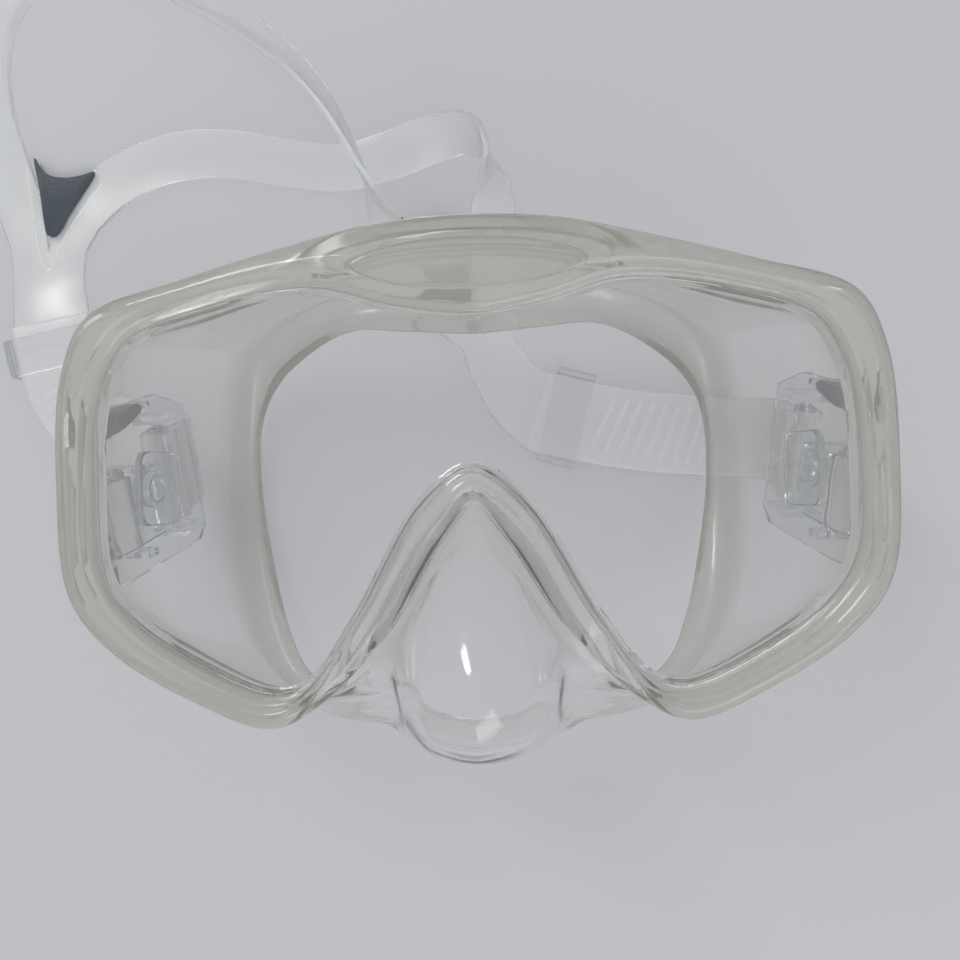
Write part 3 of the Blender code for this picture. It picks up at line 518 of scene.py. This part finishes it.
def skirt_surface():
    """Rings of the skirt in section order, with the haze of each: bead, outside, inside and seat."""
    lens = whole_ring(LENS_EDGE)
    rim = whole_ring(RIM_EDGE)
    bead = [at_height(lens * (1 - share) + rim * share, height) for share, height in BEAD_PROFILE]
    outer = [whole_ring(wall_stations(k, share)) for k, share in enumerate(WALL_STEPS)]
    fold = whole_ring(FOLD)
    lip = whole_ring(LIP)
    contact = (fold + lip) / 2
    contact[:, 2] = np.minimum(fold[:, 2], lip[:, 2]) - SEAL_DROP
    control = np.array([bead[-2], bead[-1]] + outer + [fold, contact, lip])
    columns = [smooth_rows(control[1:, j], SECTION_SAMPLES) for j in range(control.shape[1])]
    dense = np.array(columns).transpose(1, 0, 2)
    across = np.gradient(dense, axis=0)
    along = np.roll(dense, -1, axis=1) - np.roll(dense, 1, axis=1)
    normal = np.cross(along, across)
    normal /= np.linalg.norm(normal, axis=2)[:, :, None]
    skin = slice(SECTION_SAMPLES, None)
    dense, normal = dense[skin], normal[skin]
    total = len(dense)
    share = np.arange(total) / (total - 1)
    thickness = np.where(share < SEAL_START, WALL_THICKNESS, SEAL_THICKNESS)
    window = 2 * THICKNESS_BLUR + 1
    thickness = np.convolve(np.pad(thickness, THICKNESS_BLUR, "edge"), np.ones(window) / window, "valid")
    thickness = thickness * np.clip((1 - share) * LIP_TAPER + LIP_THINNEST, LIP_THINNEST, 1)
    inner = dense - normal * thickness[:, None, None]
    ledge = offset_ring(lens, -LEDGE)
    groove = offset_ring(lens, GROOVE)
    seat = [
        at_height(ledge, GLASS_BACK - LEDGE_DEPTH),
        at_height(ledge, GLASS_BACK - GAP),
        at_height(groove, GLASS_BACK - GAP),
        at_height(groove, GLASS_STEP + GAP),
        at_height(lens, GLASS_STEP + GAP),
    ]
    wall = wall_haze(share)
    haze = [BEAD_HAZE] * len(bead) + wall + wall[::-1] + [SEAT_HAZE] * len(seat)
    return bead + list(dense) + list(inner[::-1]) + seat, haze


def wall_haze(share):
    """The wall clears quickly under the bead and thickens again at the face seal."""
    return list(np.interp(share, *zip(*WALL_HAZE)))


def brow_outline(grow, count=64):
    """The eye shape of the brow window, larger all round by grow."""
    half = BROW_HALF_LENGTH + BROW_TIP_GROWTH * grow
    points = []
    for k in range(count):
        angle = 2 * math.pi * k / count
        rise = (BROW_TOP - BROW_TIP if math.sin(angle) > 0 else BROW_TIP - BROW_BOTTOM) + grow
        height = rise * math.sin(angle) * abs(math.sin(angle)) ** BROW_SHARPNESS
        points.append((half * math.cos(angle), BROW_TIP + height))
    return points


def make_skirt():
    rings, haze = skirt_surface()
    bm = lofted(rings)
    layer = bm.verts.layers.float.new("haze")
    count = len(rings[0])
    bm.verts.ensure_lookup_table()
    for k, value in enumerate(haze):
        for j in range(count):
            share = abs(j - count / 2) / RING_SAMPLES
            clearing = np.interp(share, NOSE_STATIONS, (NOSE_CLEAR, NOSE_CLEAR, 1))
            bm.verts[k * count + j][layer] = value * clearing
    skirt = add_piece("skirt_moulding", bm, "skirt", "root", MASK)
    heights = (BROW_FLOOR - 0.1, BROW_RECESS_TOP)
    rings = [[(x, y, z) for x, y in brow_outline(BROW_RECESS_GAP)] for z in heights]
    cutter = add_piece("brow_recess", lofted(rings, False, True), "skirt", "root", MASK)
    cut(skirt, cutter)
    skirt.data.shade_smooth()
    skirt.data.set_sharp_from_angle(angle=math.radians(40))
    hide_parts("skirt")


def make_glass():
    lens = whole_ring(LENS_EDGE)
    face = offset_ring(lens, -GLASS_INSET)
    flange = offset_ring(lens, GLASS_FLANGE)
    rings = [
        at_height(offset_ring(flange, -GLASS_CHAMFER), GLASS_BACK),
        at_height(flange, GLASS_BACK + GLASS_CHAMFER),
        at_height(flange, GLASS_STEP),
        at_height(face, GLASS_STEP),
        at_height(face, -GLASS_CHAMFER),
        at_height(offset_ring(face, -GLASS_CHAMFER), 0.0),
    ]
    glass = add_piece("glass_pane", lofted(rings, False, True), "glass", "root", MASK, 20)
    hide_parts("lens")


def make_brow_window():
    """A clear plate with a slightly domed front and a rounded edge."""
    rings = [[(x, y, BROW_FLOOR + z) for x, y in brow_outline(grow)] for grow, z in BROW_PROFILE]
    top_edge = brow_outline(BROW_PROFILE[-1][0])
    for shrink in (0.75, 0.5, 0.25):
        ring = [(x * shrink, BROW_TIP + (y - BROW_TIP) * shrink) for x, y in top_edge]
        rings.append([(x, y, BROW_FLOOR + BROW_HEIGHT + BROW_DOME * (1 - shrink)) for x, y in ring])
    plate = add_piece("brow_plate", lofted(rings, False, True), "brow", "root", MASK)
    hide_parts("brow_window")


# ---------------------------------------------------------------- strap


def swivel_matrix(side):
    """The buckle frame of one side in the mask frame, in metres."""
    forward = Vector((side * math.sin(WALL_LEAN), 0, math.cos(WALL_LEAN)))
    across = Vector((0, -side, 0))
    made = Matrix((forward, across, forward.cross(across))).transposed().to_4x4()
    made.translation = Vector((side * SWIVEL_X, SWIVEL_Y, SWIVEL_Z)) * MM
    return made @ Matrix.Rotation(side * SWIVEL_TURN, 4, "Z")


def swivel_to_table(side):
    """The buckle frame of one side seen from the strap's tables, in millimetres."""
    made = TABLE.inverted() @ MASK @ swivel_matrix(side)
    made.translation = made.translation / MM
    return made


def arm_rows(table, side):
    """Rows of an arm's middle surface: place and half width vector."""
    start = swivel_to_table(side)
    across = start.to_3x3() @ Vector((0, -side, 0))
    first_places = (ARM_START, ARM_START - ARM_START_STEP)
    rows = [(start @ Vector((u, 0, ROLLER_W)), across, ARM_LEFT[0][2]) for u in first_places]
    rows += [(Vector(place), Vector(direction), width) for place, direction, width in table]
    packed = [(*place, *(direction.normalized() * width / 2)) for place, direction, width in rows]
    return smooth_rows(packed, STRAP_SAMPLES)


def with_normals(places, across):
    along = np.gradient(places, axis=0)
    normal = np.cross(along, across)
    return normal / np.linalg.norm(normal, axis=1)[:, None]


def arm_layer(rows, layer_side):
    """Centre, half width vector and normal of one layer of an arm."""
    places, across = rows[:, :3], rows[:, 3:6]
    normal = with_normals(places, across)
    return places + normal * layer_side * (STRAP_THICKNESS + LAYER_GAP) / 2, across, normal


def band_rows(table, slot_side):
    """Outer edge, slot edge and normal of one band at every sample."""
    rows = smooth_rows(table, STRAP_SAMPLES)
    places = rows[:, :3]
    along = np.gradient(places, axis=0)
    along /= np.linalg.norm(along, axis=1)[:, None]
    level = np.cross(np.array(UP), along)
    level /= np.linalg.norm(level, axis=1)[:, None]
    rise = np.cross(along, level)
    tilt = np.radians(rows[:, 3])[:, None]
    width = (level * np.cos(tilt) + rise * np.sin(tilt)) * BAND_WIDTH / 2
    return places - width * slot_side, places + width * slot_side, with_normals(places, -width)


def loop_section():
    """Middle line of the strap round its roller in U and W, from the main layer to the tail."""
    layer = (STRAP_THICKNESS + LAYER_GAP) / 2
    radius = ROLLER_RADIUS + GAP + STRAP_THICKNESS / 2
    back, out = LOOP_SHOULDER
    points = [(LOOP_END, ROLLER_W - layer), (ROLLER_U - back, ROLLER_W - out)]
    for step in range(LOOP_STEPS + 1):
        angle = math.radians(-LOOP_HALF_TURN + 2 * LOOP_HALF_TURN * step / LOOP_STEPS)
        points.append((ROLLER_U + radius * math.cos(angle), ROLLER_W + radius * math.sin(angle)))
    return points + [(ROLLER_U - back, ROLLER_W + out), (LOOP_END, ROLLER_W + layer)]


def ribbon(places, across, normals):
    """A closed band with rounded edges and a raised border along each edge."""
    half = STRAP_THICKNESS / 2
    border = list(zip(BORDER_WIDTHS, BORDER_LIFTS))
    outline = [(-1 + w, h) for w, h in border]
    outline += [(1 - w, h) for w, h in reversed(border[:-1])]
    outline += [(x, -h) for x, h in reversed(outline)]
    rings = []
    for place, width, normal in zip(places, across, normals):
        rings.append([place + width * x + normal * half * h for x, h in outline])
    return lofted(rings, False, True)


def rib_bars(layer, rows, side):
    """Slanted grip ribs moulded across one layer of a strap."""
    places = layer[0]
    index = np.arange(len(places))

    def at(row, x, height):
        centre, width, up = [
            np.array([np.interp(row, index, part[:, k]) for k in range(3)]) for part in layer
        ]
        return centre + width * x + up * (STRAP_THICKNESS / 2 * STRAP_SURFACE + height)

    step = np.linalg.norm(np.diff(places, axis=0), axis=1)
    foot, crest = RIB_HALF, RIB_HALF / 2
    profile = ((-foot, -RIB_SINK), (-crest, RIB_RISE), (crest, RIB_RISE), (foot, -RIB_SINK))
    bm = bmesh.new()
    for row in rows:
        row = row * STRAP_SAMPLES
        scale = 1 / step[min(int(row), len(step) - 1)]
        grid = []
        for x in np.linspace(-RIB_SPAN, RIB_SPAN, RIB_STEPS):
            middle = row + RIB_SLANT * x * side * scale
            grid.append([bm.verts.new(at(middle + along * scale, x, height)) for along, height in profile])
        for here, there in zip(grid[:-1], grid[1:]):
            for j in range(len(profile)):
                n = (j + 1) % len(profile)
                bm.faces.new((here[j], here[n], there[n], there[j]))
        bm.faces.new(grid[0])
        bm.faces.new(grid[-1])
    return bm


def make_arm(name, table, side):
    """One arm: the tail, the turn round the roller and the main layer as far as the keeper."""
    rows = arm_rows(table, side)
    main_side = -side
    tail_last = (TAIL_LAST_ROW + 2) * STRAP_SAMPLES + 1
    main_last = (KEEPER_ROW + 2) * STRAP_SAMPLES + 1
    tail = arm_layer(rows, side)
    main = arm_layer(rows, main_side)
    start = swivel_to_table(side)
    middle = [start @ Vector((u, 0, w)) for u, w in loop_section()]
    half_width = start.to_3x3() @ Vector((0, -side, 0)) * ARM_LEFT[0][2] / 2
    loop_places = np.array([tuple(p) for p in middle])
    first = main[0][:main_last][::-1]
    last = tail[0][:tail_last]
    if np.linalg.norm(loop_places[0] - first[-1]) > np.linalg.norm(loop_places[-1] - first[-1]):
        loop_places = loop_places[::-1]
    places = np.vstack([first, loop_places, last])
    loop_across = [tuple(half_width)] * len(loop_places)
    across = np.vstack([main[1][:main_last][::-1], loop_across, tail[1][:tail_last]])
    arm = ribbon(places, across, with_normals(places, across))
    piece = add_piece(f"strap_arm_{name}", arm, "strap", None)
    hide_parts(f"strap_loop_{name}", f"strap_tail_{name}")
    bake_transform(piece)
    ribbed = main if side > 0 else tail
    bars = rib_bars(ribbed, RIB_ROWS[name], side)
    ribs = add_piece(f"strap_ribs_{name}", bars, "rib", None)
    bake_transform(ribs)


def pair(bm, place, normal):
    half = normal * STRAP_THICKNESS / 2
    return [bm.verts.new(place + half), bm.verts.new(place - half)]


def rounded_edge(bm, place, inward, normal):
    """The edge of a sheet, rounded over from its top to its underside."""
    half = STRAP_THICKNESS / 2
    inward = inward / np.linalg.norm(inward)
    return [bm.verts.new(place + inward * reach + normal * half * height) for reach, height in EDGE_SHAPE]


def strip_faces(bm, outer, inner, joined):
    """Skins one half of the strap: joined says at which rows its inner edge is shared."""
    for k in range(len(outer) - 1):
        here, there = outer[k], outer[k + 1]
        shared, after = inner[k], inner[k + 1]
        bm.faces.new((here[0], there[0], after[0], shared[0]))
        bm.faces.new((here[-1], shared[-1], after[-1], there[-1]))
        for j in range(len(here) - 1):
            bm.faces.new((here[j], here[j + 1], there[j + 1], there[j]))
        if joined[k] and joined[k + 1]:
            continue
        if len(shared) == len(after):
            for j in range(len(shared) - 1):
                bm.faces.new((shared[j], after[j], after[j + 1], shared[j + 1]))
        else:
            few, many = (shared, after) if len(shared) == 2 else (after, shared)
            middle = len(many) // 2
            for j in range(middle - 1):
                bm.faces.new((few[0], many[j], many[j + 1]))
            bm.faces.new((few[0], many[middle - 1], many[middle], few[1]))
            for j in range(middle, len(many) - 1):
                bm.faces.new((few[1], many[j], many[j + 1]))


def make_middle_strap():
    """The split strap between the keepers: one moulding that parts into two bands."""
    first = (KEEPER_ROW + 2) * STRAP_SAMPLES
    left, across_left, normal_left = [part[first:] for part in arm_layer(arm_rows(ARM_LEFT, -1), 1)]
    right, across_right, normal_right = [part[first:] for part in arm_layer(arm_rows(ARM_RIGHT, 1), -1)]
    right, across_right, normal_right = right[::-1], across_right[::-1], -normal_right[::-1]
    inner_band = band_rows(BAND_INNER, 1)
    outer_band = band_rows(BAND_OUTER, -1)
    bm = bmesh.new()
    halves = []
    shared_left = [pair(bm, place, normal) for place, normal in zip(left, normal_left)]
    shared_right = [pair(bm, place, normal) for place, normal in zip(right, normal_right)]
    left_rows = list(zip(left, across_left, normal_left))
    right_rows = list(zip(right, across_right, normal_right))
    for sign, (edge, slot, normal) in ((1, inner_band), (-1, outer_band)):
        outer = [rounded_edge(bm, p + sign * a, -sign * a, n) for p, a, n in left_rows]
        outer += [rounded_edge(bm, p, q - p, n) for p, q, n in zip(edge, slot, normal)]
        outer += [rounded_edge(bm, p + sign * a, -sign * a, n) for p, a, n in right_rows]
        slot_edge = [rounded_edge(bm, q, p - q, n) for p, q, n in zip(edge, slot, normal)]
        inner = shared_left + slot_edge + shared_right
        joined = [True] * len(left) + [False] * len(slot) + [True] * len(right)
        strip_faces(bm, outer, inner, joined)
        halves.append(outer)
    for row, shared in ((0, shared_left[0]), (-1, shared_right[-1])):
        top, bottom = halves[0][row], halves[1][row]
        bm.faces.new([*top[::-1], shared[0], *bottom, shared[1]])
    piece = add_piece("strap_middle", bm, "strap", "root")
    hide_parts("split_strap")
    make_left_web()
    make_right_web(right[0], inner_band, outer_band)
    make_left_border()


def surface_line(points, width=0.7, lift=0.22):
    """A fine raised line through points on a surface that faces up."""
    rows = smooth_rows(points, 6)
    along = np.gradient(rows, axis=0)
    side = np.column_stack([-along[:, 1], along[:, 0], np.zeros(len(along))])
    side /= np.linalg.norm(side, axis=1)[:, None]
    up = np.array([0, 0, 1.0])
    profile = ((-0.5, -0.1), (-0.3, 0.7), (0.0, 1.0), (0.3, 0.7), (0.5, -0.1))
    return [[p + s * width * x + up * lift * z for x, z in profile] for p, s in zip(rows, side)]


def make_left_border():
    """The moulded border that runs round the web and meets in a point below it."""
    rings = surface_line(WEB_BORDER)
    add_piece("web_border_left", lofted(rings, False, True), "rib", "root")


def sheet_bm(grid, normals, thickness):
    """A closed sheet of even thickness over a grid of rows of places, with one normal to a row."""
    bm = bmesh.new()
    sides = []
    for sign in (1, -1):
        shift = np.array(normals) * sign * thickness / 2
        sides.append([[bm.verts.new(p + move) for p in row] for row, move in zip(grid, shift)])
    rows, columns = len(grid), len(grid[0])
    for side in sides:
        for k in range(rows - 1):
            for j in range(columns - 1):
                bm.faces.new((side[k][j], side[k + 1][j], side[k + 1][j + 1], side[k][j + 1]))
    rim = [(k, 0) for k in range(rows)] + [(rows - 1, j) for j in range(1, columns)]
    rim += [(k, columns - 1) for k in range(rows - 2, -1, -1)] + [(0, j) for j in range(columns - 2, 0, -1)]
    for (a, b), (c, d) in zip(rim, rim[1:] + rim[:1]):
        bm.faces.new((sides[0][a][b], sides[0][c][d], sides[1][c][d], sides[1][a][b]))
    return bm


def make_left_web():
    """The dark web in the crotch of the flat split, let into the strap and standing a little proud of it."""
    outline = smooth_rows([(x, y, 0) for x, y in LEFT_WEB], 4, closed=True)
    middle = np.array(WEB_MIDDLE)
    rings = []
    for inset, height in WEB_EDGE:
        ring = outline + (middle - outline) * inset
        climb = np.clip((ring[:, 1] - WEB_CLIMB_START) * WEB_CLIMB, 0, 1)
        ring[:, 2] = WEB_LEVEL + height + climb
        rings.append(ring)
    piece = add_piece("web_left", lofted(rings, False, True), "slate", "root")
    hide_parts("strap_patch_left")


def make_right_web(tip, inner_band, outer_band):
    """The dark web in the crotch of the twisted split, with a scooped free edge."""
    total = (PATCH_ROWS - 1) * (STRAP_SAMPLES // 3 + 1)
    grid, normals = [], []
    for count in range(total):
        k = -1 - count
        a, b = inner_band[1][k], outer_band[1][k]
        shrink = (b - a) / np.linalg.norm(b - a) * PATCH_CLEARANCE
        a, b = a + shrink, b - shrink
        share = count / (total - 1)
        row = []
        for t in np.linspace(0, 1, PATCH_COLUMNS):
            scoop = PATCH_SCOOP * share**2 * (1 - (2 * t - 1) ** 2)
            row.append((a * (1 - t) + b * t) * (1 - scoop) + tip * scoop)
        grid.append(row)
        normal = inner_band[2][k] + outer_band[2][k]
        normals.append(normal / np.linalg.norm(normal))
    sheet = sheet_bm(grid, normals, PATCH_THICKNESS)
    piece = add_piece("web_right", sheet, "slate", "root")
    bevel(piece, PATCH_BEVEL)
    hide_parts("strap_patch_right")


# ---------------------------------------------------------------- carried-over nodes


def dress_nodes():
    """Gives every CAD node that stays its material."""
    dark = ("locking_button",)
    metal = ("roller_axle", "lever_pin")
    for name, item in frame["nodes"].items():
        if name.startswith(dark):
            look = "slate"
        elif name.startswith(metal):
            look = "steel"
        elif name.startswith("keeper"):
            look = "frosted"
        else:
            look = "clear"
        for slot in item.material_slots:
            slot.material = LOOKS[look]


# ---------------------------------------------------------------- stage


FLOOR_REACH = 3.0
FLOOR_COLOR = (0.585, 0.59, 0.60)
STUDIO_COLOR = (0.93, 0.95, 1.0)
STUDIO_STRENGTH = 0.53
# Place, what it looks at, size, power in watts and colour of each lamp.
LAMPS = {
    "window": ((-0.42, 0.50, 0.95), (0, -0.04, 0.04), (0.2, 0.5), 3.6, (1, 0.985, 0.96)),
    "fill": ((0.6, -1.3, 1.1), (0, -0.05, 0), (1.4, 1.0), 10.5, (0.99, 0.99, 1)),
}
CAMERA_LENS = 38.96
CAMERA_PLACE = (1.5, -2.4, 278.0)
CAMERA_UP = (0.0314, 0.9995, 0)


def make_floor():
    mesh = bpy.data.meshes.new("floor")
    corners = [(x * FLOOR_REACH, y * FLOOR_REACH, 0) for x, y in ((-1, -1), (1, -1), (1, 1), (-1, 1))]
    mesh.from_pydata(corners, [], [(0, 1, 2, 3)])
    floor = bpy.data.objects.new("floor", mesh)
    bpy.context.scene.collection.objects.link(floor)
    made, tree, output = new_material("pale_table")
    body = tree.nodes.new("ShaderNodeBsdfPrincipled")
    body.inputs["Base Color"].default_value = (*FLOOR_COLOR, 1)
    body.inputs["Roughness"].default_value = 0.6
    tree.links.new(body.outputs[0], output.inputs["Surface"])
    mesh.materials.append(made)


def area_light(name, place, target, size, power, color):
    light = bpy.data.lights.new(name, "AREA")
    light.shape = "RECTANGLE"
    light.size, light.size_y = size
    light.energy = power
    light.color = color
    item = bpy.data.objects.new(name, light)
    bpy.context.scene.collection.objects.link(item)
    place, target = Vector(place), Vector(target)
    aim = (target - place).to_track_quat("-Z", "Y").to_matrix().to_4x4()
    item.matrix_world = Matrix.Translation(place) @ aim


def make_lights():
    for name, lamp in LAMPS.items():
        area_light(name, *lamp)
    world = bpy.data.worlds.new("studio")
    bpy.context.scene.world = world
    world.use_nodes = True
    background = world.node_tree.nodes["Background"]
    background.inputs["Color"].default_value = (*STUDIO_COLOR, 1)
    background.inputs["Strength"].default_value = STUDIO_STRENGTH
    world.cycles.sampling_method = "MANUAL"
    world.cycles.sample_map_resolution = 256


def make_camera():
    data = bpy.data.cameras.new("camera")
    data.lens = CAMERA_LENS
    data.sensor_width = 36.0
    data.clip_start = 0.01
    item = bpy.data.objects.new("camera", data)
    bpy.context.scene.collection.objects.link(item)
    image_up = Vector(CAMERA_UP).normalized()
    turn = Matrix((image_up.cross(UP), image_up, UP)).transposed().to_4x4()
    place = TABLE @ (Vector(CAMERA_PLACE) * MM)
    item.matrix_world = Matrix.Translation(place) @ turn
    bpy.context.scene.camera = item


def main():
    scene = bpy.context.scene
    scene.view_settings.view_transform = "Standard"
    scene.cycles.transparent_max_bounces = 48
    scene.cycles.max_bounces = 24
    scene.cycles.transmission_bounces = 24
    scene.cycles.glossy_bounces = 6
    scene.cycles.caustics_refractive = False
    scene.cycles.caustics_reflective = False
    make_camera()
    make_lights()
    make_floor()
    make_skirt()
    make_glass()
    make_brow_window()
    for name, table, side in (("left", ARM_LEFT, -1), ("right", ARM_RIGHT, 1)):
        make_arm(name, table, side)
    make_middle_strap()
    dress_nodes()
    bpy.context.view_layer.update()


main()
